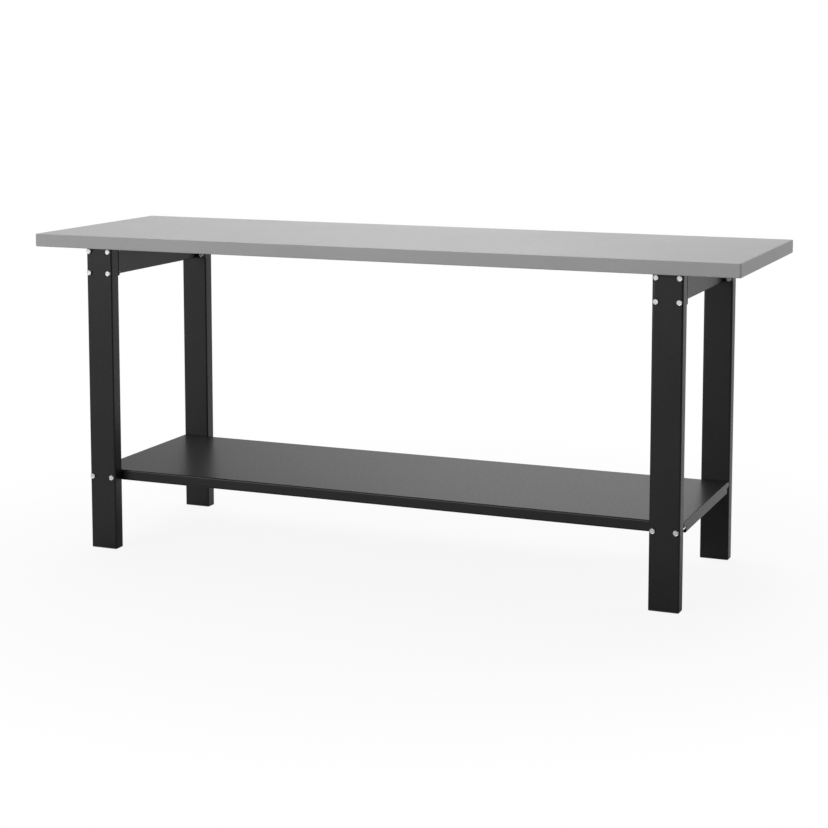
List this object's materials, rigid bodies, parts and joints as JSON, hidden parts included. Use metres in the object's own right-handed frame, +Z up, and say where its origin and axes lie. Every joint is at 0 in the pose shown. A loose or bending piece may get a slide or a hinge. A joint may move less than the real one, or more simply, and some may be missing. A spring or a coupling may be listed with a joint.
{
  "type": "assembly table",
  "caption": "Long workshop assembly table with a grey steel-clad worktop on black tube legs, bolted cross rails at the ends and a low folded steel shelf.",
  "frame": {"origin": "on the floor, under the middle of the table", "axes": "+X along the table's length, +Y from front to rear, +Z up"},
  "size_m": [2, 0.64, 0.89],
  "materials": {
    "grey_paint": "light grey powder coat, satin",
    "black_paint": "black powder coat, satin",
    "board": "raw fibreboard",
    "black_plastic": "moulded black polyethylene",
    "zinc": "bright zinc plating"
  },
  "bodies": {
    "root": {"worktop_skin": "grey_paint", "worktop_core": "board", "shelf": "black_paint", "rail_left": "black_paint", "screw_left_1": "zinc", "screw_left_2": "zinc", "screw_left_3": "zinc", "leg_front_left": "black_paint", "foot_front_left": "black_plastic", "bolt_rail_front_left_1": "zinc", "nut_rail_front_left_1": "zinc", "bolt_rail_front_left_2": "zinc", "nut_rail_front_left_2": "zinc", "bolt_rail_front_left_3": "zinc", "nut_rail_front_left_3": "zinc", "bolt_rail_front_left_4": "zinc", "nut_rail_front_left_4": "zinc", "bolt_shelf_front_left_5": "zinc", "bolt_shelf_front_left_6": "zinc", "leg_rear_left": "black_paint", "foot_rear_left": "black_plastic", "bolt_rail_rear_left_1": "zinc", "nut_rail_rear_left_1": "zinc", "bolt_rail_rear_left_2": "zinc", "nut_rail_rear_left_2": "zinc", "bolt_rail_rear_left_3": "zinc", "nut_rail_rear_left_3": "zinc", "bolt_rail_rear_left_4": "zinc", "nut_rail_rear_left_4": "zinc", "bolt_shelf_rear_left_5": "zinc", "bolt_shelf_rear_left_6": "zinc", "rail_right": "black_paint", "screw_right_1": "zinc", "screw_right_2": "zinc", "screw_right_3": "zinc", "leg_front_right": "black_paint", "foot_front_right": "black_plastic", "bolt_rail_front_right_1": "zinc", "nut_rail_front_right_1": "zinc", "bolt_rail_front_right_2": "zinc", "nut_rail_front_right_2": "zinc", "bolt_rail_front_right_3": "zinc", "nut_rail_front_right_3": "zinc", "bolt_rail_front_right_4": "zinc", "nut_rail_front_right_4": "zinc", "bolt_shelf_front_right_5": "zinc", "bolt_shelf_front_right_6": "zinc", "leg_rear_right": "black_paint", "foot_rear_right": "black_plastic", "bolt_rail_rear_right_1": "zinc", "nut_rail_rear_right_1": "zinc", "bolt_rail_rear_right_2": "zinc", "nut_rail_rear_right_2": "zinc", "bolt_rail_rear_right_3": "zinc", "nut_rail_rear_right_3": "zinc", "bolt_rail_rear_right_4": "zinc", "nut_rail_rear_right_4": "zinc", "bolt_shelf_rear_right_5": "zinc", "bolt_shelf_rear_right_6": "zinc"}
  },
  "joints": []
}
